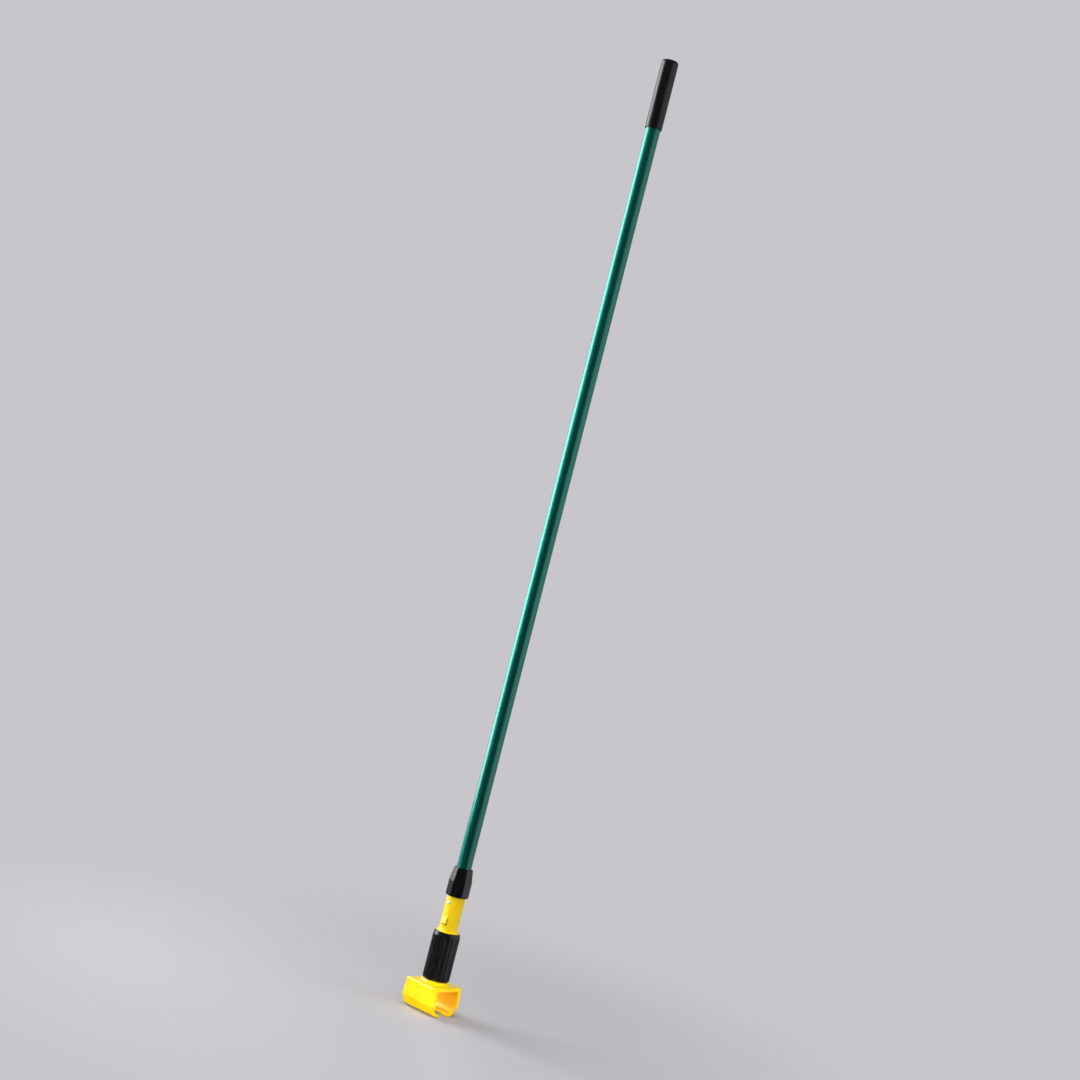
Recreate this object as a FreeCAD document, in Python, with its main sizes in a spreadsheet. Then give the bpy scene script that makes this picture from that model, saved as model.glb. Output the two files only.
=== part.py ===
"""Clamp-type wet-mop handle: pole, lock nut, neck, twist sleeve and a two-jaw clamp head.

Frame: millimetres, +Z up the pole, origin on the pole's axis at the underside of the jaws' lips.
The jaws part along the XZ plane: the front jaw is at -Y, the rear jaw at +Y, and the clamp's
open ends are at -X and +X. Everything is drawn with the jaws closed and the sleeve down.
"""
import FreeCAD, Part
import os
import re
import Sketcher
from FreeCAD import Placement, Rotation, Vector

doc = FreeCAD.newDocument("mop_handle")

# ---------------------------------------------------------------- driving dimensions
DIMENSIONS = [
    ("pole_radius", 12.7), ("pole_bore", 9.9), ("pole_length", 1524), ("pole_foot", 125.6),
    ("plug_radius", 9.8), ("plug_length", 88),
    ("grip_radius", 14.7), ("grip_foot", 1533), ("grip_top", 1653), ("grip_corner", 5),
    ("grip_crown", 0.8), ("grip_bore", 12.75),
    ("neck_radius", 15.7), ("socket_bore", 12.95), ("thread_foot", 203), ("thread_radius", 14.9),
    ("neck_top", 231), ("seat_depth", 3), ("seat_radius", 14.3),
    ("shoulder_radius", 20.7), ("shoulder_foot", 132), ("shoulder_edge", 137.8),
    ("shoulder_top", 143), ("shoulder_flare", 5.2),
    ("barrel_radius", 19.4), ("barrel_foot", 105), ("core_radius", 13),
    ("core_top", 118),
    ("ear_foot", 85), ("ear_gap", 10.9), ("ear_radius", 19.1),
    ("groove_floor", 17.2), ("groove_height", 5.6), ("screw_lead", 24), ("sleeve_travel", 12),
    ("stud_height", 110.4), ("stud_radius", 2.5), ("stud_tip", 17.5), ("groove_spare", 9),
    ("tab_foot", 151), ("tab_top", 164), ("tab_radius", 18.7), ("tab_half_width", 5),
    ("tab_slot", 1.3), ("tab_slot_top", 161), ("tab_foot_slot", 2.2),
    ("rivet_height", 187), ("rivet_radius", 2), ("rivet_head_radius", 3.1), ("rivet_dome", 1.5),
    ("washer_radius", 4), ("washer_seat", 15.2),
    ("nut_foot", 198.5), ("nut_shoulder", 224), ("nut_top", 247.5), ("nut_corner", 20.1),
    ("nut_tip_corner", 16.4), ("nut_bore", 13.1), ("nut_skirt_bore", 16.2), ("nut_turn", 35),
    ("nut_cone_foot", 236.4), ("nut_cone_top", 241.6), ("nut_edge_round", 2.4),
    ("ferrule_bore", 12.8), ("ferrule_foot", 228.6), ("ferrule_top", 240.6),
    ("ferrule_radius", 15.2), ("ferrule_split", 1.6),
    ("sleeve_foot", 54.5), ("sleeve_top", 137.6), ("sleeve_radius", 23.4), ("sleeve_bevel", 131),
    ("sleeve_rim", 21.5), ("sleeve_bore", 19.7), ("mouth_bore", 21), ("mouth_floor", 119),
    ("ring_seat_bore", 21.05), ("ring_seat_top", 66.6),
    ("flute_count", 16), ("flute_radius", 3.4), ("flute_depth", 1.15), ("flute_top", 130.2),
    ("wire_height", 61), ("wire_radius", 0.65), ("ring_bore", 19.2), ("ring_radius", 20.98),
    ("ring_foot", 54.9), ("ring_top", 65.2), ("washer_top", 66.5),
    ("jaw_gap", 0.3), ("jaw_top", 49), ("jaw_half_depth", 35.4), ("jaw_waist_depth", 33),
    ("jaw_waist_height", 17.5), ("jaw_curl_depth", 26.8), ("jaw_curl_height", 7),
    ("jaw_curl_radius", 14.4), ("jaw_toe_depth", 14.7), ("lip_edge", 10.4), ("lip_thickness", 4.6),
    ("roof_underside", 43),
    ("hollow_round", 6), ("hollow_curl_radius", 12), ("jaw_wall_inner", 27),
    ("jaw_inner_waist", 16.5), ("jaw_inner_toe", 18.5), ("jaw_half_width_top", 33.2),
    ("jaw_half_width", 37.3), ("jaw_round", 3.5),
    ("boss_radius", 21.8), ("boss_top", 53.9), ("boss_spread", 28.6), ("shank_top", 72),
    ("shank_top_radius", 12.2), ("jaw_angle", 11.5),
    ("pin_height", 95), ("pin_offset", 7), ("pin_radius", 2.5), ("pin_hole", 2.56),
    ("pin_length", 34), ("ear_hole", 2.52), ("knuckle_radius", 5.4), ("arm_half_width", 9.6),
    ("arm_outer", 10.4), ("arm_inner", 1.6),
    ("spring_half_width", 4), ("spring_outer", 1.3), ("spring_inner", 0.5), ("spring_foot", 70.5),
    ("spring_bend", 112),
    ("tooth_height", 1.2), ("tooth_pitch", 2.4), ("tooth_length", 60),
]

dims = doc.addObject("Spreadsheet::Sheet", "dims")
for row, (alias, number) in enumerate(DIMENSIONS, start=1):
    dims.set(f"A{row}", alias)
    dims.set(f"B{row}", str(number))
    dims.setAlias(f"B{row}", alias)
doc.recompute()
ALIASES = {alias for alias, _ in DIMENSIONS}


def bound(words):
    """Turn a formula in sheet aliases, such as 'pole_foot+pole_length', into an expression on the sheet."""
    return re.sub("[a-z_]+", lambda word: f"dims.{word[0]}" if word[0] in ALIASES else word[0], words)


def value(words):
    """The number that a formula in sheet aliases comes to now."""
    return float(dims.evalExpression(bound(words)))


# ---------------------------------------------------------------- sketches and features
def new_body(name):
    body = doc.addObject("PartDesign::Body", name)
    body.Label = name
    return body


def new_sketch(body, plane, lift="0", turn=0, about=Vector(0, 0, 1)):
    """A sketch on one of the body's own origin planes, lifted along its normal and turned."""
    sketch = body.newObject("Sketcher::SketchObject", body.Label + "_sketch")
    role = next(f for f in body.Origin.OriginFeatures if f.Role == plane)
    sketch.AttachmentSupport = [(role, "")]
    sketch.MapMode = "FlatFace"
    sketch.AttachmentOffset = Placement(Vector(0, 0, value(lift)), Rotation(about, turn))
    if lift != "0":
        sketch.setExpression("AttachmentOffset.Base.z", bound(lift))
    return sketch


def arc_centre(start, end, radius, side):
    """Centre of the short arc from start to end. Side +1 puts it left of the way from start to end."""
    middle = (start + end) * 0.5
    along = end - start
    reach = max(radius * radius - along.Length ** 2 / 4, 0) ** 0.5
    left = Vector(-along.y, along.x, 0).normalize()
    return middle + left * (reach * side)


def draw_outline(sketch, corners, arcs=None):
    """Draw one closed outline whose corners are pairs of formulas.

    arcs maps a side's number to the (radius, side) of its arc.
    """
    arcs = arcs or {}
    points = [Vector(value(across), value(up), 0) for across, up in corners]
    first = sketch.GeometryCount
    count = len(points)
    starts = []
    for index, start in enumerate(points):
        end = points[(index + 1) % count]
        if index in arcs:
            radius, side = arcs[index]
            centre = arc_centre(start, end, value(radius), side)
            along = end - start
            outward = Vector(along.y, -along.x, 0).normalize() * side
            middle = centre + outward * value(radius)
            anticlockwise = side > 0
            arc = Part.Arc(start, middle, end) if anticlockwise else Part.Arc(end, middle, start)
            sketch.addGeometry(arc, False)
            starts.append(1 if anticlockwise else 2)
            number = sketch.addConstraint(Sketcher.Constraint("Radius", first + index, value(radius)))
            sketch.setExpression(f"Constraints[{number}]", bound(radius))
        else:
            sketch.addGeometry(Part.LineSegment(start, end), False)
            starts.append(1)
    for index in range(count):
        after = (index + 1) % count
        ends = (first + index, 3 - starts[index], first + after, starts[after])
        tie = Sketcher.Constraint("Coincident", *ends)
        sketch.addConstraint(tie)
    for index, (across, up) in enumerate(corners):
        place_point(sketch, first + index, starts[index], across, up)


def place_point(sketch, geometry, vertex, across, up):
    """Fix one point of a sketch at a pair of formulas, measured from the sketch's origin."""
    for kind, axis, words in (("DistanceX", -2, across), ("DistanceY", -1, up)):
        if words == "0":
            sketch.addConstraint(Sketcher.Constraint("PointOnObject", geometry, vertex, axis))
        else:
            distance = Sketcher.Constraint(kind, -1, 1, geometry, vertex, value(words))
            number = sketch.addConstraint(distance)
            sketch.setExpression(f"Constraints[{number}]", bound(words))


def draw_circle(sketch, radius, across="0", up="0"):
    number = sketch.GeometryCount
    circle = Part.Circle(Vector(value(across), value(up), 0), Vector(0, 0, 1), value(radius))
    sketch.addGeometry(circle, False)
    place_point(sketch, number, 3, across, up)
    rule = sketch.addConstraint(Sketcher.Constraint("Radius", number, value(radius)))
    sketch.setExpression(f"Constraints[{rule}]", bound(radius))


def tip(body, feature):
    """Make a new feature the body's tip, work it out and stop if it failed."""
    body.Tip = feature
    doc.recompute()
    if "Invalid" in feature.State or "Error" in feature.State or feature.Shape.isNull():
        raise RuntimeError(f"{body.Label}: {feature.Name} failed")
    return feature


def sweep_feature(body, kind, sketch, length, both_ways=False, reverse=False):
    """A Pad or Pocket of a sketch, over a length given as a formula."""
    feature = body.newObject("PartDesign::" + kind, body.Label + "_" + kind.lower())
    feature.Profile = sketch
    feature.Length = value(length)
    feature.setExpression("Length", bound(length))
    feature.SideType = "Symmetric" if both_ways else "One side"
    feature.Reversed = reverse
    return tip(body, feature)


def pad(body, sketch, length, **ways):
    return sweep_feature(body, "Pad", sketch, length, **ways)


def pocket(body, sketch, length, **ways):
    before = body.Shape.Volume
    feature = sweep_feature(body, "Pocket", sketch, length, **ways)
    if before - feature.Shape.Volume < 0.1:
        raise RuntimeError(f"{body.Label}: {feature.Name} cuts nothing")
    return feature


def turned(body, kind, sketch, angle=360):
    """A Revolution or Groove of a sketch about the body's Z axis."""
    feature = body.newObject("PartDesign::" + kind, body.Label + "_" + kind.lower())
    feature.Profile = sketch
    feature.ReferenceAxis = (sketch, ["V_Axis"])
    feature.Angle = angle
    return tip(body, feature)


def turned_body(name, corners, arcs=None):
    """A piece turned about Z from one outline in the XZ plane."""
    body = new_body(name)
    sketch = new_sketch(body, "XZ_Plane")
    draw_outline(sketch, corners, arcs)
    turned(body, "Revolution", sketch)
    return body


def round_edges(body, radius, chosen, kind="Fillet"):
    """Fillet or chamfer every edge of the body's tip for which chosen(edge) is true."""
    base = body.Tip
    names = [f"Edge{n}" for n, edge in enumerate(base.Shape.Edges, start=1) if chosen(edge)]
    if not names:
        raise RuntimeError(f"{body.Label}: no edge to round at {radius}")
    feature = body.newObject("PartDesign::" + kind, body.Label + "_" + kind.lower())
    feature.Base = (base, names)
    size = "Radius" if kind == "Fillet" else "Size"
    setattr(feature, size, radius)
    return tip(body, feature)


def pattern(body, feature, count):
    """Repeat a feature about Z, count times in a full turn."""
    polar = body.newObject("PartDesign::PolarPattern", body.Label + "_pattern")
    polar.Originals = [feature]
    polar.Axis = (feature.Profile[0], ["V_Axis"])
    if feature.Profile[0].AttachmentSupport[0][0].Role == "XY_Plane":
        polar.Axis = (feature.Profile[0], ["N_Axis"])
    polar.Angle = 360
    polar.Occurrences = count
    return tip(body, polar)


def arc_radius(edge):
    """Radius of a round edge, and 0 for any other edge."""
    try:
        return edge.Curve.Radius
    except (AttributeError, TypeError):
        return 0


# ---------------------------------------------------------------- pole, plug and grip
def make_pole_tube():
    foot = "pole_foot"
    top = "pole_foot+pole_length"
    body = turned_body("pole_tube", [
        ("pole_bore", foot), ("pole_radius", foot), ("pole_radius", top), ("pole_bore", top),
    ])
    sketch = new_sketch(body, "XZ_Plane")
    draw_circle(sketch, "rivet_radius+0.05", "0", "rivet_height")
    pocket(body, sketch, "4*pole_radius", both_ways=True)
    return body


def make_pole_plug():
    foot = "pole_foot+0.5"
    top = "pole_foot+plug_length"
    body = turned_body("pole_plug", [("0", foot), ("plug_radius", foot), ("plug_radius", top), ("0", top)])
    sketch = new_sketch(body, "XZ_Plane")
    draw_circle(sketch, "rivet_radius+0.05", "0", "rivet_height")
    pocket(body, sketch, "4*pole_radius", both_ways=True)
    round_edges(body, 1.5, lambda edge: arc_radius(edge) > 5, "Chamfer")
    return body


def cap_radius(reach, rise):
    """Radius of the ball whose cap is as wide as reach each side of the axis and rises by rise."""
    return f"(({reach})^2+({rise})^2)/(2*({rise}))"


def make_end_grip():
    inside_top = "pole_foot+pole_length+0.1"
    crown = "(grip_radius-grip_corner)"
    corners = [
        ("grip_bore", "grip_foot+0.8"), ("grip_bore+0.8", "grip_foot"), ("grip_radius-1", "grip_foot"),
        ("grip_radius", "grip_foot+1"), ("grip_radius", "grip_top-grip_corner-grip_crown"),
        (crown, "grip_top-grip_crown"), ("0", "grip_top"), ("0", inside_top), ("grip_bore", inside_top),
    ]
    return turned_body("end_grip", corners, {4: ("grip_corner", 1), 5: (cap_radius(crown, "grip_crown"), 1)})


# ---------------------------------------------------------------- neck moulding
def make_neck_body():
    corners = [
        ("core_radius", "barrel_foot"), ("barrel_radius-0.8", "barrel_foot"),
        ("barrel_radius", "barrel_foot+0.8"),
        ("barrel_radius", "shoulder_foot"), ("shoulder_radius", "shoulder_foot+0.5"),
        ("shoulder_radius", "shoulder_edge"), ("neck_radius", "shoulder_top"), ("neck_radius", "thread_foot"),
        ("thread_radius", "thread_foot+1"), ("thread_radius", "neck_top"), ("seat_radius", "neck_top"),
        ("socket_bore", "neck_top-seat_depth"), ("socket_bore", "pole_foot-0.1"), ("0", "pole_foot-0.1"),
        ("0", "core_top"), ("core_radius", "core_top"),
    ]
    body = turned_body("neck_body", corners, {5: ("shoulder_flare", -1)})
    add_ears(body)
    add_screw_grooves(body)
    add_snap_tongue(body)
    sketch = new_sketch(body, "XZ_Plane")
    draw_circle(sketch, "rivet_radius+0.05", "0", "rivet_height")
    pocket(body, sketch, "4*pole_radius", both_ways=True)
    sketch = new_sketch(body, "XZ_Plane", lift="-washer_seat")
    draw_circle(sketch, "washer_radius+0.1", "0", "rivet_height")
    pocket(body, sketch, "4")
    sketch = new_sketch(body, "XZ_Plane", lift="neck_radius-0.1")
    draw_circle(sketch, "rivet_head_radius+0.1", "0", "rivet_height")
    pocket(body, sketch, "4", reverse=True)
    return body


def add_ears(body):
    """Two hinge ears below the barrel, one at each end of the hinge pins."""
    sketch = new_sketch(body, "XY_Plane", lift="ear_foot")
    reach = "sqrt(ear_radius^2-ear_gap^2)"
    bulges = {0: ("ear_radius", 1), 1: ("ear_radius", 1)}
    draw_outline(sketch, [("ear_gap", f"-{reach}"), ("ear_radius", "0"), ("ear_gap", reach)], bulges)
    draw_outline(sketch, [("-ear_gap", reach), ("-ear_radius", "0"), ("-ear_gap", f"-{reach}")], bulges)
    pad(body, sketch, "barrel_foot-ear_foot+2")
    sketch = new_sketch(body, "YZ_Plane")
    for sign in ("", "-"):
        draw_circle(sketch, "ear_hole", f"{sign}pin_offset", "pin_height")
    pocket(body, sketch, "4*ear_radius", both_ways=True)


def add_screw_grooves(body):
    """Two helical grooves, half a turn each, in which the sleeve's studs run. They rise right-handed."""
    half = "groove_height/2"
    centre = "(stud_height-screw_lead*groove_spare/360)"
    sketch = new_sketch(body, "XZ_Plane", turn=value("groove_spare"), about=Vector(0, -1, 0))
    low = f"{centre}-{half}"
    high = f"{centre}+{half}"
    outside = "barrel_radius+1"
    draw_outline(sketch, [("groove_floor", low), (outside, low), (outside, high), ("groove_floor", high)])
    groove = body.newObject("PartDesign::SubtractiveHelix", "neck_body_groove")
    groove.Profile = sketch
    groove.ReferenceAxis = (sketch, ["V_Axis"])
    groove.Mode = "pitch-height-angle"
    groove.Pitch = value("screw_lead")
    groove.Height = value("sleeve_travel+screw_lead*2*groove_spare/360")
    groove.Angle = 0
    before = body.Shape.Volume
    tip(body, groove)
    pattern(body, groove, 2)
    if before - body.Shape.Volume < 500:
        raise RuntimeError("the screw grooves are missing")


def add_snap_tongue(body):
    """The ramped tongue at the front, cut free of the socket wall along its foot and both its sides."""
    sketch = new_sketch(body, "YZ_Plane")
    ramp = [
        ("-neck_radius+1.5", "tab_foot"), ("-tab_radius+0.6", "tab_foot"), ("-tab_radius", "tab_foot+0.8"),
        ("-tab_radius+0.3", "tab_foot+3"), ("-neck_radius+0.3", "tab_top"), ("-neck_radius+1.5", "tab_top"),
    ]
    draw_outline(sketch, ramp)
    pad(body, sketch, "2*tab_half_width", both_ways=True)
    sketch = new_sketch(body, "XZ_Plane", lift="socket_bore-4")
    outer = "(tab_half_width+tab_slot)"
    foot = "(tab_foot-tab_foot_slot)"
    corners = [
        (f"-{outer}", foot), (outer, foot), (outer, "tab_slot_top"), ("tab_half_width", "tab_slot_top"),
        ("tab_half_width", "tab_foot"), ("-tab_half_width", "tab_foot"), ("-tab_half_width", "tab_slot_top"),
        (f"-{outer}", "tab_slot_top"),
    ]
    draw_outline(sketch, corners)
    pocket(body, sketch, "tab_radius", reverse=True)


def make_neck_rivet():
    """A solid rivet along Y: a low dome in front, a shank through neck, tube and plug, a tail behind."""
    body = new_body("neck_rivet")
    sketch = new_sketch(body, "XZ_Plane")
    front = "(neck_radius-0.1)"
    tail = "(washer_seat+0.65)"
    corners = [
        ("0", f"-{tail}-0.9"), ("rivet_radius+0.9", f"-{tail}-0.3"), ("rivet_radius+0.9", f"-{tail}"),
        ("rivet_radius", f"-{tail}"), ("rivet_radius", front), ("rivet_head_radius", front),
        ("rivet_head_radius", f"{front}+0.25"), ("0", f"{front}+rivet_dome"),
    ]
    tail_ball = cap_radius("rivet_radius+0.9", "0.6")
    head_ball = cap_radius("rivet_head_radius", "rivet_dome-0.25")
    draw_outline(sketch, corners, {0: (tail_ball, 1), 6: (head_ball, 1)})
    turned(body, "Revolution", sketch)
    body.Placement = Placement(Vector(0, 0, value("rivet_height")), Rotation(Vector(1, 0, 0), 90))
    body.setExpression("Placement.Base.z", bound("rivet_height"))
    doc.recompute()
    return body


def make_rivet_washer():
    hole = "rivet_radius+0.05"
    body = turned_body("rivet_washer", [
        (hole, "0"), ("washer_radius", "0"), ("washer_radius", "0.6"), (hole, "0.6"),
    ])
    body.Placement = Placement(Vector(0, 0, 0), Rotation(Vector(1, 0, 0), -90))
    body.setExpression("Placement.Base.y", bound("washer_seat+0.02"))
    body.setExpression("Placement.Base.z", bound("rivet_height"))
    doc.recompute()
    return body


# ---------------------------------------------------------------- lock nut
def hexagon(sketch, radius):
    half = f"{radius}*0.5"
    high = f"{radius}*sqrt(3)/2"
    draw_outline(sketch, [
        (radius, "0"), (half, high), (f"-{half}", high),
        (f"-{radius}", "0"), (f"-{half}", f"-{high}"), (half, f"-{high}"),
    ])


def make_lock_nut():
    """A hexagon with straight sides below and tapered sides above, bored for the neck, ferrule and tube."""
    body = new_body("lock_nut")
    turn = value("nut_turn")
    lower = new_sketch(body, "XY_Plane", lift="nut_foot", turn=turn)
    hexagon(lower, "nut_corner")
    pad(body, lower, "nut_shoulder-nut_foot")
    waist = new_sketch(body, "XY_Plane", lift="nut_shoulder", turn=turn)
    hexagon(waist, "nut_corner")
    crown = new_sketch(body, "XY_Plane", lift="nut_top", turn=turn)
    hexagon(crown, "nut_tip_corner")
    loft = body.newObject("PartDesign::AdditiveLoft", "lock_nut_taper")
    loft.Profile = waist
    loft.Sections = [crown]
    tip(body, loft)

    def standing(edge):
        rise = abs(edge.Vertexes[0].Z - edge.Vertexes[-1].Z)
        return rise > 10

    round_edges(body, value("nut_edge_round"), standing)
    ease_nut_rim(body, "nut_corner", "nut_foot", "nut_edge_round", "+")
    ease_nut_rim(body, "nut_tip_corner", "nut_top", "1.2", "-")
    sketch = new_sketch(body, "XZ_Plane")
    skirt = "nut_skirt_bore"
    narrow = "thread_radius+0.35"
    draw_outline(sketch, [
        ("0", "nut_foot-1"), (skirt, "nut_foot-1"), (skirt, "thread_foot+1.5"), (narrow, "thread_foot+3"),
        (narrow, "nut_cone_foot"), ("nut_bore", "nut_cone_top"), ("nut_bore", "nut_top-0.6"),
        ("nut_bore+0.6", "nut_top"), ("nut_bore+0.6", "nut_top+1"), ("0", "nut_top+1"),
    ])
    turned(body, "Groove", sketch)
    return body


def ease_nut_rim(body, corner, level, ease, inward):
    """Turn off the hexagon's corners at one end in two facets. inward is the sign of z into the nut."""
    outward = "-" if inward == "+" else "+"
    sketch = new_sketch(body, "XZ_Plane")
    draw_outline(sketch, [
        (f"{corner}-{ease}", level), (f"{corner}-{ease}", f"{level}{outward}1"),
        (f"{corner}+3", f"{level}{outward}1"), (f"{corner}+3", f"{level}{inward}{ease}"),
        (f"{corner}+0.05", f"{level}{inward}{ease}"),
        (f"{corner}-{ease}*0.3", f"{level}{inward}{ease}*0.3"),
    ])
    turned(body, "Groove", sketch)


def make_nut_ferrule():
    """A split ring, conical at both ends, that the nut squeezes down between the neck's seat and the tube."""
    body = turned_body("nut_ferrule", [
        ("ferrule_bore", "ferrule_foot"), ("ferrule_bore+0.35", "ferrule_foot"),
        ("seat_radius-0.1", "neck_top+0.3"),
        ("ferrule_radius-0.1", "neck_top+0.3"), ("ferrule_radius-0.1", "nut_cone_foot-0.3"),
        ("ferrule_bore+0.5", "ferrule_top"), ("ferrule_bore", "ferrule_top"),
    ])
    sketch = new_sketch(body, "XY_Plane", lift="ferrule_foot-1")
    half = "ferrule_split/2"
    outside = "ferrule_radius+1"
    draw_outline(sketch, [("0", f"-{half}"), (outside, f"-{half}"), (outside, half), ("0", half)])
    pocket(body, sketch, "ferrule_top-ferrule_foot+2", reverse=True)
    return body


# ---------------------------------------------------------------- twist sleeve and the ring in its mouth
def make_twist_sleeve():
    corners = [
        ("ring_seat_bore", "sleeve_foot"), ("sleeve_radius-1.4", "sleeve_foot"),
        ("sleeve_radius-0.4", "sleeve_foot+1"), ("sleeve_radius", "sleeve_foot+4"),
        ("sleeve_radius", "sleeve_bevel-0.8"), ("sleeve_radius-0.35", "sleeve_bevel+0.6"),
        ("sleeve_rim+0.4", "sleeve_top-0.5"), ("sleeve_rim", "sleeve_top"), ("mouth_bore+0.2", "sleeve_top"),
        ("mouth_bore", "sleeve_top-0.4"), ("mouth_bore", "mouth_floor"), ("sleeve_bore", "mouth_floor-0.6"),
        ("sleeve_bore", "ring_seat_top"), ("ring_seat_bore", "ring_seat_top"),
    ]
    body = turned_body("twist_sleeve", corners)
    cut_wire_seat(body, "ring_seat_bore")
    flute = new_sketch(body, "XY_Plane", lift="sleeve_foot-1")
    draw_circle(flute, "flute_radius", "sleeve_radius-flute_depth+flute_radius", "0")
    cut = pocket(body, flute, "flute_top-sleeve_foot+1", reverse=True)
    pattern(body, cut, int(value("flute_count")))
    stud = new_sketch(body, "YZ_Plane")
    draw_circle(stud, "stud_radius", "0", "stud_height")
    pad(body, stud, "2*sleeve_bore+0.6", both_ways=True)
    gap = new_sketch(body, "XY_Plane", lift="stud_height-stud_radius-1")
    draw_circle(gap, "stud_tip")
    pocket(body, gap, "2*stud_radius+2", reverse=True)
    return body


def cut_wire_seat(body, radius):
    """A rounded groove, centred on the given wall, for the wire snap ring."""
    sketch = new_sketch(body, "XZ_Plane")
    draw_circle(sketch, "wire_radius+0.05", radius, "wire_height")
    turned(body, "Groove", sketch)


def make_closing_ring():
    body = turned_body("closing_ring", [
        ("ring_bore+0.7", "ring_foot"), ("ring_radius", "ring_foot"), ("ring_radius", "ring_top"),
        ("ring_bore", "ring_top"), ("ring_bore", "ring_foot+0.7"),
    ], {4: ("0.7", 1)})
    cut_wire_seat(body, "ring_seat_bore")
    return body


def make_ring_washer():
    return turned_body("ring_washer", [
        ("sleeve_bore", "ring_top+0.1"), ("ring_radius", "ring_top+0.1"), ("ring_radius", "washer_top"),
        ("sleeve_bore", "washer_top"),
    ])


def make_ring_retainer():
    """A wire ring with a gap, half in the sleeve and half in the closing ring."""
    body = new_body("ring_retainer")
    sketch = new_sketch(body, "XZ_Plane")
    draw_circle(sketch, "wire_radius", "ring_seat_bore", "wire_height")
    turned(body, "Revolution", sketch, 350)
    return body


# ---------------------------------------------------------------- jaws
def cam_outline():
    """Three points of the shank's outline that stay against the ring as it lifts and the jaw swings.

    The ring's lower edge is carried back into the jaw's own frame at rest, half travel and full travel.
    """
    ring = value("ring_bore-0.14")
    lever = value("pin_height")
    points = []
    for share in (0, 0.5, 1):
        swing = Rotation(Vector(1, 0, 0), share * value("jaw_angle"))
        pivot = Vector(0, value("pin_offset"), lever)
        edge = Vector(0, ring, value("ring_foot") + share * value("sleeve_travel"))
        points.append(pivot + swing.inverted().multVec(edge - pivot))
    return points


def make_jaw(name, half_turns):
    """One jaw, drawn at +Y. The front jaw is the same moulding turned half round."""
    body = new_body(name)
    sketch = new_sketch(body, "YZ_Plane")
    corners = [
        ("jaw_gap", "jaw_top"), ("jaw_gap", "roof_underside"),
        ("jaw_wall_inner-hollow_round", "roof_underside"),
        ("jaw_wall_inner", "roof_underside-hollow_round"), ("jaw_wall_inner", "jaw_inner_waist"),
        ("jaw_inner_toe", "lip_thickness"),
        ("lip_edge+lip_thickness/2", "lip_thickness"), ("lip_edge+lip_thickness/2", "0"),
        ("jaw_toe_depth", "0"), ("jaw_curl_depth", "jaw_curl_height"),
        ("jaw_waist_depth", "jaw_waist_height"), ("jaw_half_depth", "jaw_top"),
    ]
    draw_outline(sketch, corners, {
        2: ("hollow_round", -1), 4: ("hollow_curl_radius", -1), 6: ("lip_thickness*0.52", 1),
        8: ("jaw_curl_radius", 1),
    })
    pad(body, sketch, "2*jaw_half_width", both_ways=True)
    trim_flared_ends(body)
    soften_head(body)
    add_shank(body)
    add_hinge_arm(body)
    add_teeth(body)
    body.Placement = Placement(Vector(0, 0, 0), Rotation(Vector(0, 0, 1), 180 * half_turns))
    doc.recompute()
    return body


def trim_flared_ends(body):
    """Cut the two ends so that they lean outwards from the roof down to the curl."""
    sketch = new_sketch(body, "XZ_Plane")
    for sign in ("", "-"):
        draw_outline(sketch, [
            (f"{sign}jaw_half_width", "jaw_waist_height"), (f"{sign}(jaw_half_width+5)", "jaw_waist_height"),
            (f"{sign}(jaw_half_width+5)", "jaw_top+5"), (f"{sign}jaw_half_width_top", "jaw_top+5"),
            (f"{sign}jaw_half_width_top", "jaw_top"),
        ])
    pocket(body, sketch, "4*jaw_half_depth", both_ways=True)


def soften_head(body):
    """Round the head's outer edges and the outer rims of its two open ends."""
    depth = value("jaw_half_depth")
    roof = value("jaw_top")
    waist = value("jaw_waist_height")
    end_reach = value("jaw_half_width_top") - 1

    def outer_rim(edge):
        at_end = all(abs(v.X) > end_reach for v in edge.Vertexes)
        along_top = all(v.Z > roof - 0.1 and v.Y > depth - 0.1 for v in edge.Vertexes)
        along_waist = edge.Length > 40 and all(abs(v.Z - waist) < 0.1 for v in edge.Vertexes)
        roof_end = at_end and all(v.Z > roof - 0.1 for v in edge.Vertexes)
        wall_end = at_end and all(v.Y > value("jaw_wall_inner") + 0.2 for v in edge.Vertexes)
        curl_end = at_end and sorted(round(v.Y, 2) for v in edge.Vertexes) == [
            value("jaw_toe_depth"), value("jaw_curl_depth")]
        return along_top or along_waist or roof_end or curl_end or (wall_end and edge.BoundBox.ZLength > 5)

    round_edges(body, value("jaw_round"), outer_rim)


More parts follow.
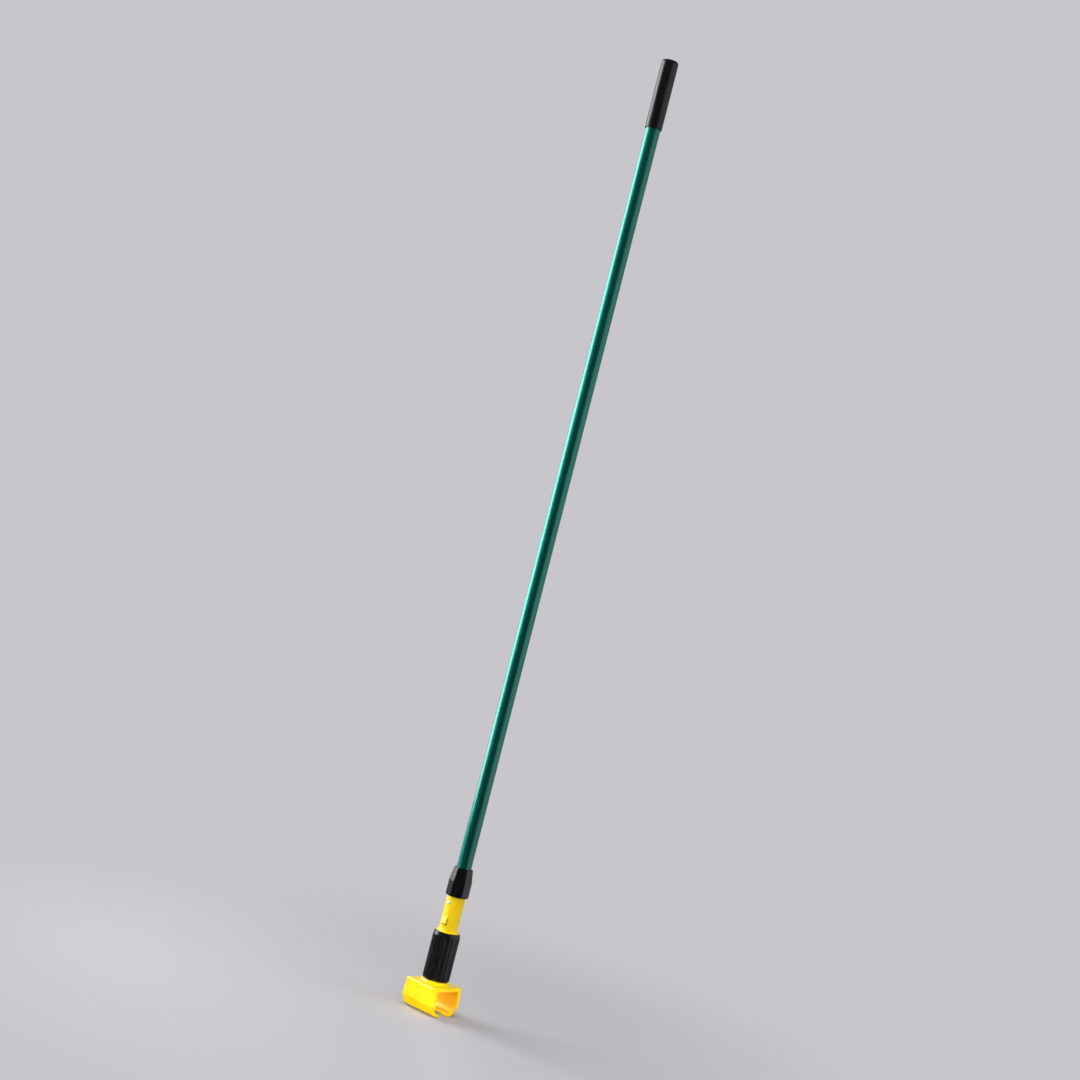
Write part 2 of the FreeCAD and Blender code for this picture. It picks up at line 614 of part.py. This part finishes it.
def add_shank(body):
    """The round boss and the cam-shaped shank that the closing ring squeezes, half of a turned shape."""
    start, middle, end = cam_outline()
    boss, spread = value("boss_radius"), value("boss_spread")
    roof, crown = value("jaw_top"), value("boss_top")
    rise = crown - 0.6 - roof
    sweep = ((spread - boss) ** 2 + rise ** 2) / (2 * rise)
    half_way = Vector(spread - sweep * 0.5, roof + sweep * (1 - 0.75 ** 0.5), 0)
    flare = Part.Arc(Vector(spread, roof, 0), half_way, Vector(boss, roof + rise, 0))
    cam = Part.Arc(Vector(start.y, start.z, 0), Vector(middle.y, middle.z, 0), Vector(end.y, end.z, 0))
    lower = [(0, roof - 3), (spread, roof - 3), (spread, roof)]
    neck = [(boss, roof + rise), (boss - 0.6, crown), (start.y, crown), (start.y, start.z)]
    top = value("shank_top")
    upper = [(end.y, end.z), (value("shank_top_radius"), top), (0, top), lower[0]]
    sketch = new_sketch(body, "XZ_Plane")
    for run in (lower, neck, upper):
        for first, second in zip(run, run[1:]):
            sketch.addGeometry(Part.LineSegment(Vector(*first, 0), Vector(*second, 0)), False)
    sketch.addGeometry(flare, False)
    sketch.addGeometry(cam, False)
    turned(body, "Revolution", sketch)
    face = new_sketch(body, "XY_Plane", lift="jaw_top-4")
    reach = "(boss_spread+1)"
    draw_outline(face, [
        (f"-{reach}", f"-{reach}"), (reach, f"-{reach}"), (reach, "jaw_gap"), (f"-{reach}", "jaw_gap"),
    ])
    pocket(body, face, "shank_top-jaw_top+6", reverse=True)


def add_hinge_arm(body):
    """The arm that rises between the neck's ears to a knuckle on the hinge pin."""
    sketch = new_sketch(body, "YZ_Plane")
    bottom = "shank_top-6"
    outer = "(pin_offset+knuckle_radius)"
    inner = "(pin_offset-knuckle_radius)"
    corners = [(inner, bottom), ("arm_outer", bottom), (outer, "pin_height"), (inner, "pin_height")]
    draw_outline(sketch, corners, {2: ("knuckle_radius*1.02", 1)})
    pad(body, sketch, "2*arm_half_width", both_ways=True)
    hole = new_sketch(body, "YZ_Plane")
    draw_circle(hole, "pin_hole", "pin_offset", "pin_height")
    pocket(body, hole, "4*arm_half_width", both_ways=True)
    slot = new_sketch(body, "YZ_Plane")
    foot, head = "spring_foot-2", "shank_top+1"
    draw_outline(slot, [("0", foot), ("arm_inner", foot), ("arm_inner", head), ("0", head)])
    pocket(body, slot, "2*spring_half_width+1", both_ways=True)


def add_teeth(body):
    """Three low gripping ridges along the lip's upper face."""
    for number in range(3):
        sketch = new_sketch(body, "YZ_Plane")
        left = f"(lip_edge+1.9+{number}*tooth_pitch)"
        draw_outline(sketch, [
            (left, "lip_thickness-0.4"), (f"{left}+tooth_pitch-0.5", "lip_thickness-0.4"),
            (f"{left}+tooth_pitch/2-0.25", "lip_thickness+tooth_height"),
        ])
        pad(body, sketch, "tooth_length", both_ways=True)


# ---------------------------------------------------------------- hinge pins and spring
def make_hinge_pin(name, sign):
    body = new_body(name)
    sketch = new_sketch(body, "YZ_Plane")
    draw_circle(sketch, "pin_radius", f"{sign}pin_offset", "pin_height")
    pad(body, sketch, "pin_length", both_ways=True)
    round_edges(body, 0.4, lambda edge: arc_radius(edge) > 0, "Chamfer")
    return body


def make_spreader_spring():
    """A hairpin of spring strip: one bend in the barrel's core, two legs between the jaws' shanks."""
    body = new_body("spreader_spring")
    sketch = new_sketch(body, "YZ_Plane")
    out, inside, foot, bend = "spring_outer", "spring_inner", "spring_foot", "spring_bend"
    draw_outline(sketch, [
        (out, foot), (out, bend), (f"-{out}", bend), (f"-{out}", foot),
        (f"-{inside}", foot), (f"-{inside}", bend), (inside, bend), (inside, foot),
    ], {1: (out + "*1.04", 1), 5: (inside + "*1.04", -1)})
    pad(body, sketch, "2*spring_half_width", both_ways=True)
    return body


# ---------------------------------------------------------------- build, check and write
pieces = [
    make_pole_tube(), make_pole_plug(), make_end_grip(), make_neck_body(), make_neck_rivet(),
    make_rivet_washer(), make_lock_nut(), make_nut_ferrule(), make_twist_sleeve(), make_closing_ring(),
    make_ring_washer(), make_ring_retainer(), make_jaw("rear_jaw", 0), make_jaw("front_jaw", 1),
    make_hinge_pin("front_pin", "-"), make_hinge_pin("rear_pin", ""), make_spreader_spring(),
]
doc.recompute()
for thing in doc.Objects:
    if "Invalid" in thing.State or "Error" in thing.State:
        raise RuntimeError(f"{thing.Label} is {thing.State}")
for piece in pieces:
    if piece.Shape.isNull() or not piece.Shape.isValid() or len(piece.Shape.Solids) != 1:
        raise RuntimeError(f"{piece.Label} has no single valid solid")

os.makedirs("parts", exist_ok=True)
for piece in pieces:
    piece.Shape.exportStep(f"parts/{piece.Label}.step")
    print(f"{piece.Label}: {piece.Shape.Volume / 1000:.2f} cm3")
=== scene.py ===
"""Looks for the clamp-type wet-mop handle: materials, small moulded details, studio and camera."""
import math

import bmesh
import bpy
from mathutils import Matrix, Vector


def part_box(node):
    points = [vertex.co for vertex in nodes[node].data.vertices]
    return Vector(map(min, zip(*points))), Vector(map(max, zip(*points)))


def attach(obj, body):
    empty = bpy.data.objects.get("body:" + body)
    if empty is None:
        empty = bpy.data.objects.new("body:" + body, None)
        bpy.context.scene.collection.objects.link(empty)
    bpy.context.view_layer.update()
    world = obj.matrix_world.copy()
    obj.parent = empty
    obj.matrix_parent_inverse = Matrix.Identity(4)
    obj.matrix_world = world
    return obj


MM = 0.001

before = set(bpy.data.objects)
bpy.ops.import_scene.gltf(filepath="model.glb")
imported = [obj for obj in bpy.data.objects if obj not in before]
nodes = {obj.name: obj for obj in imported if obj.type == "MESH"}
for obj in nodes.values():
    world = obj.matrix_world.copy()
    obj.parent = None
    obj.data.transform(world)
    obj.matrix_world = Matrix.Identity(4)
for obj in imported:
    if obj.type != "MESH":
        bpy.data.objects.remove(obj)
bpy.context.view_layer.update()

# ---------------------------------------------------------------- studio values
VIEW_AZIMUTH = math.radians(40)
VIEW_ROLL = math.radians(14.37)
VIEW_DISTANCE = 3.288
VIEW_ASIDE = -0.0130
VIEW_HEIGHT = 0.815
FOCAL_SHARE = 1950 / 1080
SENSOR = 36.0

CAMERA_REACH = 60

BACKGROUND = (0.575, 0.563, 0.590)
BACKDROP_RAMP = (0.45, 0.95)
AMBIENT = 0.05
FLOOR_COLOUR = (0.440, 0.431, 0.454)
FLOOR_RADIUS = 14.0
FLOOR_HEIGHT = -0.0004
FLOOR_FADE = (0.12, 0.95)

MOUTH_SPREAD = math.radians(18)
# Name, azimuth from the camera's own, distance, height, width and height, watts, height aimed at, and the
# kind of ray that doesn't see the light.
SOFTBOXES = (
    ("key_box", -105, 1.6, 1.29, (1.3, 2.3), 50, 1.29, None),
    ("key_glint", -105, 1.6, 1.29, (1.3, 2.3), 120, 1.29, "diffuse"),
    ("right_strip", 77, 1.7, 0.95, (2.8, 2.6), 15, 0.95, None),
    ("top_fill", 5, 1.1, 2.8, (1.8, 1.8), 51, 0.4, "glossy"),
    ("low_fill", -50, 1.3, 0.15, (1.3, 0.35), 10.5, 0.03, "glossy"),
    ("right_fill", 75, 1.9, 0.80, (0.6, 2.2), 12, 0.95, "glossy"),
    ("mouth_fill", 8, 0.7, 0.08, (0.10, 0.10), 0.038, 0.02, "glossy"),
)

# ---------------------------------------------------------------- values of the mask for the shade painted in the jaws' hollow, in metres
CURL_START = 0.016
CURL_SLOPE = 0.8
CURL_FACE = (0.0022, 0.0040)
WALL_FACE = (0.0271, 0.0276)
ROOF_FACE = (0.0431, 0.0436)

# ---------------------------------------------------------------- values of the details, in millimetres
DOME_SUNK = 0.2
LIP_POINTS = 10
LIP_SUNK = 0.25
LIP_MIDDLE = 1.0
LIP_HALF_WIDTH = 0.5
LIP_HALF_HEIGHT = 0.85
SPRUE_SUNK = 0.35
SPRUE_RADIUS = 1.6
SPRUE_RISE = 0.45
CHANNEL_ROOF = 43.0
PIN_MARK_ALONG = 22
PIN_MARK_ASIDE = 14
PIN_MARK_RADIUS = 2.6
PIN_MARK_RISE = 0.12
JAW_TOP_BELOW_RING = 5.9
GATE_ALONG = 24
GATE_ASIDE = 20
GATE_RADIUS = 1.3
GATE_RISE = 0.3


# ---------------------------------------------------------------- material helpers
class Paint:
    """One node material with a Principled shader, and short ways to add nodes to it."""

    def __init__(self, name, **sockets):
        self.material = bpy.data.materials.new(name)
        self.material.use_nodes = True
        self.tree = self.material.node_tree
        self.shader = self.tree.nodes["Principled BSDF"]
        self.place = self.add("ShaderNodeTexCoord").outputs["Object"]
        self.set(**sockets)

    def set(self, **sockets):
        """Set or link sockets of the shader. An underscore in a keyword stands for a space."""
        for key, value in sockets.items():
            self.feed(self.shader.inputs[key.replace("_", " ")], value)

    def feed(self, socket, value):
        if isinstance(value, bpy.types.NodeSocket):
            self.tree.links.new(value, socket)
        elif socket.type == "RGBA" and len(value) == 3:
            socket.default_value = (*value, 1)
        else:
            socket.default_value = value

    def add(self, kind, settings=None, **sockets):
        node = self.tree.nodes.new(kind)
        for key, value in (settings or {}).items():
            setattr(node, key, value)
        for key, value in sockets.items():
            self.feed(node.inputs[key.replace("_", " ")], value)
        return node

    def noise(self, scale, stretch=(1, 1, 1), detail=4, roughness=0.55, shift=(0, 0, 0)):
        """Noise of so many spots to a metre, stretched along the axes whose factor is small."""
        mapping = self.add("ShaderNodeMapping", Vector=self.place, Scale=stretch, Location=shift)
        texture = self.add("ShaderNodeTexNoise", Vector=mapping.outputs[0], Scale=scale, Detail=detail,
                           Roughness=roughness)
        return texture.outputs["Fac"]

    def levels(self, value, low, high, to_low=0.0, to_high=1.0):
        """Map value from low..high to to_low..to_high, clamped."""
        node = self.add("ShaderNodeMapRange", {"interpolation_type": "SMOOTHSTEP"}, Value=value)
        for key, number in (("From Min", low), ("From Max", high), ("To Min", to_low), ("To Max", to_high)):
            node.inputs[key].default_value = number
        return node.outputs[0]

    def maths(self, kind, first, second=0.0):
        node = self.add("ShaderNodeMath", {"operation": kind})
        self.feed(node.inputs[0], first)
        self.feed(node.inputs[1], second)
        return node.outputs[0]

    def blend(self, share, first, second):
        node = self.add("ShaderNodeMix", {"data_type": "RGBA"})
        self.feed(node.inputs[0], share)
        self.feed(node.inputs[6], first)
        self.feed(node.inputs[7], second)
        return node.outputs[2]

    def axis(self, name):
        return self.add("ShaderNodeSeparateXYZ", Vector=self.place).outputs[name]

    def rounded(self, radius):
        """A normal that rounds off the edges of the mesh, as moulding leaves them."""
        return self.add("ShaderNodeBevel", {"samples": 6}, Radius=radius).outputs[0]

    def bump(self, height, depth, below=None):
        node = self.add("ShaderNodeBump", Height=height, Distance=depth, Strength=1.0)
        if below is not None:
            self.feed(node.inputs["Normal"], below)
        return node.outputs[0]


def scratches(paint, scale, stretch, share, shift=(0, 0, 0)):
    """Sparse fine lines: the crest of a stretched noise, kept only where a coarse noise is high."""
    lines = paint.noise(scale, stretch, detail=2, shift=shift)
    crest = paint.levels(paint.maths("ABSOLUTE", paint.maths("SUBTRACT", lines, 0.5)), 0.0, 0.012, 1.0, 0.0)
    patches = paint.levels(paint.noise(26, detail=2, shift=shift), 1 - share, 1 - share + 0.08)
    return paint.maths("MULTIPLY", crest, patches)


# ---------------------------------------------------------------- materials
def green_tube():
    """Pultruded tube with a glossy resin skin: fine strands along its length under a clear coat."""
    paint = Paint("green_fibreglass", Metallic=0.85, Coat_Weight=0.85, Coat_Roughness=0.12, Coat_IOR=1.5,
                  Specular_IOR_Level=0.5)
    strands = paint.noise(1500, (1, 1, 0.012), detail=5)
    clouds = paint.noise(14, (1, 1, 0.35), detail=3)
    marks = scratches(paint, 420, (0.6, 0.6, 1), 0.34)
    tone = paint.maths("ADD", paint.maths("MULTIPLY", strands, 0.6), paint.maths("MULTIPLY", clouds, 0.4))
    colour = paint.blend(paint.levels(tone, 0.36, 0.64), (0.0004, 0.150, 0.112), (0.0012, 0.215, 0.160))
    colour = paint.blend(paint.maths("MULTIPLY", marks, 0.35), colour, (0.05, 0.36, 0.30))
    skin = paint.bump(paint.noise(60, (1, 1, 0.3), detail=2), 0.00006)
    wear = paint.maths("ADD", strands, paint.maths("MULTIPLY", marks, 0.5))
    paint.set(
        Base_Color=colour,
        Roughness=paint.levels(wear, 0.3, 0.9, 0.34, 0.50),
        Normal=paint.bump(strands, 0.00002, skin),
        Coat_Normal=paint.bump(marks, 0.00001, skin),
    )
    return paint.material


def black_vinyl():
    """Dipped grip: soft satin skin with a faint orange peel, and slightly polished patches."""
    paint = Paint("black_vinyl", Specular_IOR_Level=0.5)
    peel = paint.noise(520, detail=3)
    handled = paint.levels(paint.noise(30, (1, 1, 0.5), detail=3), 0.35, 0.65)
    dust = paint.levels(paint.noise(1900, detail=2), 0.66, 0.74)
    colour = paint.blend(handled, (0.0024, 0.0028, 0.0028), (0.0040, 0.0044, 0.0044))
    paint.set(
        Base_Color=paint.blend(paint.maths("MULTIPLY", dust, 0.25), colour, (0.055, 0.055, 0.053)),
        Roughness=paint.levels(handled, 0.0, 1.0, 0.28, 0.20),
        Normal=paint.bump(peel, 0.00004),
    )
    return paint.material


def black_plastic(name, gloss, lift):
    """Moulded nylon or ABS: near-black lifted by that much, fine spark grain and specks of dust."""
    paint = Paint(name, Specular_IOR_Level=0.55)
    grain = paint.noise(2600, detail=3)
    swirl = paint.noise(45, (1, 1, 0.5), detail=4)
    specks = paint.levels(paint.noise(1500, detail=2, shift=(3, 1, 2)), 0.66, 0.74)
    dark = tuple(shade + lift for shade in (0.0024, 0.0027, 0.0028))
    pale = tuple(shade + lift for shade in (0.0044, 0.0047, 0.0048))
    colour = paint.blend(paint.levels(swirl, 0.35, 0.65), dark, pale)
    paint.set(
        Base_Color=paint.blend(paint.maths("MULTIPLY", specks, 0.25), colour, (0.030, 0.030, 0.029)),
        Roughness=paint.levels(swirl, 0.3, 0.7, gloss, gloss + 0.10),
        Normal=paint.bump(grain, 0.000018, paint.rounded(0.0011)),
    )
    return paint.material


def hollow_shade_mask(paint, height):
    """One on the hollow side of the jaws' walls, roofs and curls, where a deeper orange is painted in as
    shade; these faces are also duller.
    """
    depth = paint.maths("ABSOLUTE", paint.axis("Y"))
    outwards = paint.maths("MAXIMUM", paint.maths("SUBTRACT", depth, CURL_START), 0.0)
    curl = paint.maths("MULTIPLY", outwards, CURL_SLOPE)
    over_curl = paint.levels(paint.maths("SUBTRACT", height, curl), *CURL_FACE)
    within_wall = paint.levels(depth, *WALL_FACE, 1.0, 0.0)
    under_roof = paint.levels(height, *ROOF_FACE, 1.0, 0.0)
    return paint.maths("MULTIPLY", paint.maths("MULTIPLY", over_curl, within_wall), under_roof)


def yellow_plastic():
    """Moulded yellow polypropylene: slight translucency, flow clouds, fine grain, light scuffs, grimy foot,
    painted shade in the jaws' hollow.
    """
    paint = Paint("yellow_plastic", Subsurface_Weight=0.45, Subsurface_Scale=0.005,
                  Subsurface_Radius=(1.0, 0.55, 0.05), Specular_IOR_Level=0.4, Specular_Tint=(1.0, 0.96, 0.75))
    flow = paint.noise(38, (1, 1, 0.6), detail=5, roughness=0.6)
    grain = paint.noise(2200, detail=3)
    sink = paint.noise(55, detail=1)
    scuffs = scratches(paint, 240, (1, 0.7, 0.8), 0.46, (7, 5, 3))
    height = paint.axis("Z")
    foot = paint.levels(height, 0.0, 0.012, 1.0, 0.0)
    grime = paint.maths("MULTIPLY", foot, paint.levels(paint.noise(140, detail=4), 0.45, 0.62))
    colour = paint.blend(paint.levels(flow, 0.35, 0.65), (0.900, 0.590, 0.0010), (0.945, 0.655, 0.0030))
    # Painted shade: inside the jaws' channel a deeper orange stands in for the shaded inside of the hollow;
    # the same mask also makes it rougher.
    hollow = hollow_shade_mask(paint, height)
    colour = paint.blend(hollow, colour, (1.0, 0.545, 0.0))
    colour = paint.blend(paint.maths("MULTIPLY", scuffs, 0.2), colour, (0.98, 0.78, 0.25))
    colour = paint.blend(paint.maths("MULTIPLY", grime, 0.22), colour, (0.42, 0.27, 0.03))
    wear = paint.levels(paint.maths("ADD", flow, paint.maths("MULTIPLY", scuffs, 0.5)), 0.3, 1.0, 0.30, 0.46)
    paint.set(
        Base_Color=colour,
        Roughness=paint.maths("ADD", wear, paint.maths("MULTIPLY", hollow, 0.5)),
        Normal=paint.bump(grain, 0.000015, paint.bump(sink, 0.00008)),
    )
    return paint.material


def metal(name, colour, dull, stretch, shine=1.0):
    """Bare or plated steel with fine draw lines and small dull spots."""
    paint = Paint(name, Metallic=shine)
    lines = paint.noise(3800, stretch, detail=3)
    spots = paint.levels(paint.noise(900, detail=2), 0.58, 0.66)
    dark = tuple(0.72 * part for part in colour)
    paint.set(
        Base_Color=paint.blend(paint.maths("MULTIPLY", spots, 0.4), colour, dark),
        Roughness=paint.levels(paint.maths("ADD", lines, spots), 0.3, 1.4, dull, dull + 0.22),
        Normal=paint.bump(lines, 0.000008),
    )
    return paint.material


def white_acetal():
    """Machined or moulded white acetal: even, slightly translucent, with faint clouds."""
    paint = Paint("white_acetal", Subsurface_Weight=0.1, Subsurface_Scale=0.001)
    clouds = paint.noise(120, detail=3)
    grain = paint.noise(2400, detail=2)
    paint.set(
        Base_Color=paint.blend(clouds, (0.76, 0.76, 0.73), (0.82, 0.82, 0.80)),
        Roughness=paint.levels(clouds, 0.3, 0.7, 0.34, 0.44),
        Normal=paint.bump(grain, 0.00001),
    )
    return paint.material


def plug_wood():
    """Turned hardwood dowel: long grain with fine pores."""
    paint = Paint("plug_wood")
    rings = paint.add("ShaderNodeTexWave", {"wave_type": "RINGS", "rings_direction": "Z"}, Vector=paint.place,
                      Scale=160, Distortion=3.0, Detail=3).outputs["Fac"]
    pores = paint.levels(paint.noise(2600, (1, 1, 0.03), detail=3), 0.58, 0.7)
    colour = paint.blend(rings, (0.46, 0.31, 0.16), (0.60, 0.43, 0.24))
    paint.set(
        Base_Color=paint.blend(pores, colour, (0.24, 0.14, 0.07)),
        Roughness=paint.levels(rings, 0.0, 1.0, 0.55, 0.72),
        Normal=paint.bump(pores, -0.00006),
    )
    return paint.material


YELLOW = yellow_plastic()
VINYL = black_vinyl()
STEEL = metal("spring_steel", (0.50, 0.50, 0.51), 0.26, (1, 1, 0.05))
PLATED = metal("bright_steel", (0.90, 0.88, 0.92), 0.34, (1, 1, 1), 0.5)
FINISHES = (
    (green_tube(), ("pole_tube",)),
    (VINYL, ("end_grip",)),
    (black_plastic("black_plastic", 0.16, 0.0), ("lock_nut",)),
    (black_plastic("sleeve_plastic", 0.16, 0.002), ("twist_sleeve",)),
    (YELLOW, ("neck_body", "front_jaw", "rear_jaw")),
    (PLATED, ("neck_rivet", "rivet_washer")),
    (STEEL, ("spreader_spring", "ring_retainer", "front_pin", "rear_pin", "closing_ring")),
    (white_acetal(), ("ring_washer", "nut_ferrule")),
    (plug_wood(), ("pole_plug",)),
)


def dress_cad_nodes():
    """Give every CAD node its finish."""
    for material, names in FINISHES:
        for name in names:
            slots = nodes[name].data.materials
            slots.clear()
            slots.append(material)


# ---------------------------------------------------------------- small moulded details
def mesh_piece(name, mesh, material, body):
    """Turn a bmesh into an object that rides on a CAD body and takes one of the record's finishes."""
    data = bpy.data.meshes.new(name)
    bmesh.ops.recalc_face_normals(mesh, faces=mesh.faces)
    mesh.to_mesh(data)
    mesh.free()
    for face in data.polygons:
        face.use_smooth = True
    data.materials.append(material)
    piece = bpy.data.objects.new(name, data)
    bpy.context.scene.collection.objects.link(piece)
    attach(piece, body)


def add_ring(mesh, outline, steps=96):
    """Turn a closed outline of (radius, height) points about the Z axis, in millimetres."""
    rows = []
    for step in range(steps):
        turn = 2 * math.pi * step / steps
        points = [Vector((r * math.cos(turn), r * math.sin(turn), z)) for r, z in outline]
        rows.append([mesh.verts.new(point * MM) for point in points])
    count = len(outline)
    for step in range(steps):
        here, there = rows[step], rows[(step + 1) % steps]
        for index in range(count):
            after = (index + 1) % count
            mesh.faces.new((here[index], there[index], there[after], here[after]))


def add_dome(mesh, centre, along, radius, rise, steps=28, rows=4):
    """A low round button whose base, sunk a little, lies square to the direction along."""
    turn = Vector((0, 0, 1)).rotation_difference(Vector(along)).to_matrix()
    profile = [(radius, -DOME_SUNK)]
    for row in range(rows):
        slope = math.pi / 2 * row / rows
        profile.append((radius - rise + rise * math.cos(slope), rise * math.sin(slope)))
    rings = []
    for reach, height in profile:
        points = [Vector((reach * math.cos(a), reach * math.sin(a), height))
                  for a in (2 * math.pi * step / steps for step in range(steps))]
        rings.append([mesh.verts.new((Vector(centre) + turn @ point) * MM) for point in points])
    for lower, upper in zip(rings, rings[1:]):
        for step in range(steps):
            after = (step + 1) % steps
            mesh.faces.new((lower[step], lower[after], upper[after], upper[step]))
    mesh.faces.new(rings[-1])
    mesh.faces.new(rings[0])


def add_grip_details():
    """The rolled lip round the grip's mouth and the closed-off sprue on its crown."""
    low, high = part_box("end_grip")
    radius = (high.x - low.x) / 2 / MM
    foot, top = low.z / MM, high.z / MM
    lip = bmesh.new()
    outline = []
    for step in range(LIP_POINTS):
        turn = 2 * math.pi * step / LIP_POINTS
        outline.append((radius - LIP_SUNK + LIP_HALF_WIDTH * math.cos(turn),
                        foot + LIP_MIDDLE + LIP_HALF_HEIGHT * math.sin(turn)))
    add_ring(lip, outline)
    mesh_piece("grip_rolled_lip", lip, VINYL, "handle")
    sprue = bmesh.new()
    add_dome(sprue, (0, 0, top - SPRUE_SUNK), (0, 0, 1), SPRUE_RADIUS, SPRUE_RISE)
    mesh_piece("grip_sprue", sprue, VINYL, "handle")


def add_jaw_marks():
    """Ejector-pin marks under each roof, and a gate stub on top of each jaw."""
    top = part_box("closing_ring")[0].z / MM - JAW_TOP_BELOW_RING
    for name, sign in (("front_jaw", -1), ("rear_jaw", 1)):
        marks = bmesh.new()
        for x in (-PIN_MARK_ALONG, PIN_MARK_ALONG):
            spot = (x, sign * PIN_MARK_ASIDE, CHANNEL_ROOF)
            add_dome(marks, spot, (0, 0, -1), PIN_MARK_RADIUS, PIN_MARK_RISE)
        mesh_piece(f"{name}_pin_marks", marks, YELLOW, name)
        gate = bmesh.new()
        spot = (-sign * GATE_ALONG, sign * GATE_ASIDE, top)
        add_dome(gate, spot, (0, 0, 1), GATE_RADIUS, GATE_RISE)
        mesh_piece(f"{name}_gate_stub", gate, YELLOW, name)


# ---------------------------------------------------------------- studio
def direction(azimuth):
    """Level unit vector from the object towards a camera at that azimuth."""
    return Vector((math.sin(azimuth), -math.cos(azimuth), 0))


def add_camera():
    """A level camera at the main view's azimuth, rolled so that the pole leans in the picture."""
    data = bpy.data.cameras.new("camera")
    data.sensor_width = SENSOR
    data.lens = FOCAL_SHARE * SENSOR
    data.clip_end = CAMERA_REACH
    camera = bpy.data.objects.new("camera", data)
    bpy.context.scene.collection.objects.link(camera)
    back = direction(VIEW_AZIMUTH)
    right = Vector((0, 0, 1)).cross(back)
    level = Matrix((right, (0, 0, 1), back)).transposed()
    rolled = level @ Matrix.Rotation(VIEW_ROLL, 3, "Z")
    spot = right * VIEW_ASIDE + back * VIEW_DISTANCE + Vector((0, 0, VIEW_HEIGHT))
    camera.matrix_world = Matrix.Translation(spot) @ rolled.to_4x4()
    bpy.context.scene.camera = camera


def add_softbox(name, azimuth, distance, height, size, power, aim, unseen):
    """A rectangular light at that azimuth from the camera's own, turned towards the pole's axis."""
    data = bpy.data.lights.new(name, "AREA")
    data.shape = "RECTANGLE"
    data.size, data.size_y = size
    data.energy = power
    light = bpy.data.objects.new(name, data)
    bpy.context.scene.collection.objects.link(light)
    spot = direction(VIEW_AZIMUTH + math.radians(azimuth)) * distance + Vector((0, 0, height))
    light.location = spot
    light.rotation_mode = "QUATERNION"
    light.rotation_quaternion = (spot - Vector((0, 0, aim))).to_track_quat("Z", "Y")
    light.visible_camera = False
    light.visible_diffuse = unseen != "diffuse"
    light.visible_glossy = unseen != "glossy"
    return light


def add_floor():
    """A round pale floor whose far part takes on the background's colour, so that no horizon shows."""
    mesh = bmesh.new()
    bmesh.ops.create_circle(mesh, cap_ends=True, segments=128, radius=FLOOR_RADIUS)
    data = bpy.data.meshes.new("floor")
    mesh.to_mesh(data)
    mesh.free()
    floor = bpy.data.objects.new("floor", data)
    bpy.context.scene.collection.objects.link(floor)
    floor.location.z = FLOOR_HEIGHT
    paint = Paint("studio_floor", Roughness=0.9, Specular_IOR_Level=0.1, Base_Color=FLOOR_COLOUR)
    reach = paint.add("ShaderNodeVectorMath", {"operation": "LENGTH"})
    paint.feed(reach.inputs[0], paint.place)
    far = paint.levels(reach.outputs["Value"], *FLOOR_FADE)
    glow = paint.add("ShaderNodeEmission", Color=BACKGROUND, Strength=1.0)
    mix = paint.add("ShaderNodeMixShader", Fac=far)
    paint.feed(mix.inputs[1], paint.shader.outputs[0])
    paint.feed(mix.inputs[2], glow.outputs[0])
    paint.feed(paint.tree.nodes["Material Output"].inputs["Surface"], mix.outputs[0])
    data.materials.append(paint.material)
    floor.visible_glossy = False


def set_world():
    """Even pale backdrop for the camera. On the object it lights from behind, and little from in front."""
    world = bpy.data.worlds.new("studio")
    bpy.context.scene.world = world
    world.use_nodes = True
    tree = world.node_tree
    shade = tree.nodes["Background"]
    shade.inputs["Color"].default_value = (*BACKGROUND, 1)
    towards = tree.nodes.new("ShaderNodeVectorMath")
    towards.operation = "DOT_PRODUCT"
    tree.links.new(tree.nodes.new("ShaderNodeTexCoord").outputs["Generated"], towards.inputs[0])
    towards.inputs[1].default_value = -direction(VIEW_AZIMUTH)
    backdrop = tree.nodes.new("ShaderNodeMapRange")
    backdrop.interpolation_type = "SMOOTHSTEP"
    tree.links.new(towards.outputs["Value"], backdrop.inputs["Value"])
    for key, number in zip(("From Min", "From Max", "To Min", "To Max"), (*BACKDROP_RAMP, AMBIENT, 1.0)):
        backdrop.inputs[key].default_value = number
    seen = tree.nodes.new("ShaderNodeMath")
    seen.operation = "MAXIMUM"
    tree.links.new(backdrop.outputs[0], seen.inputs[0])
    tree.links.new(tree.nodes.new("ShaderNodeLightPath").outputs["Is Camera Ray"], seen.inputs[1])
    tree.links.new(seen.outputs[0], shade.inputs["Strength"])


def light_studio():
    """All the softboxes. The mouth's small light keeps to a narrow cone, so that only the hollow gets it."""
    lights = {row[0]: add_softbox(*row) for row in SOFTBOXES}
    lights["mouth_fill"].data.spread = MOUTH_SPREAD


dress_cad_nodes()
add_grip_details()
add_jaw_marks()
add_floor()
set_world()
light_studio()
add_camera()
bpy.context.scene.view_settings.view_transform = "Standard"
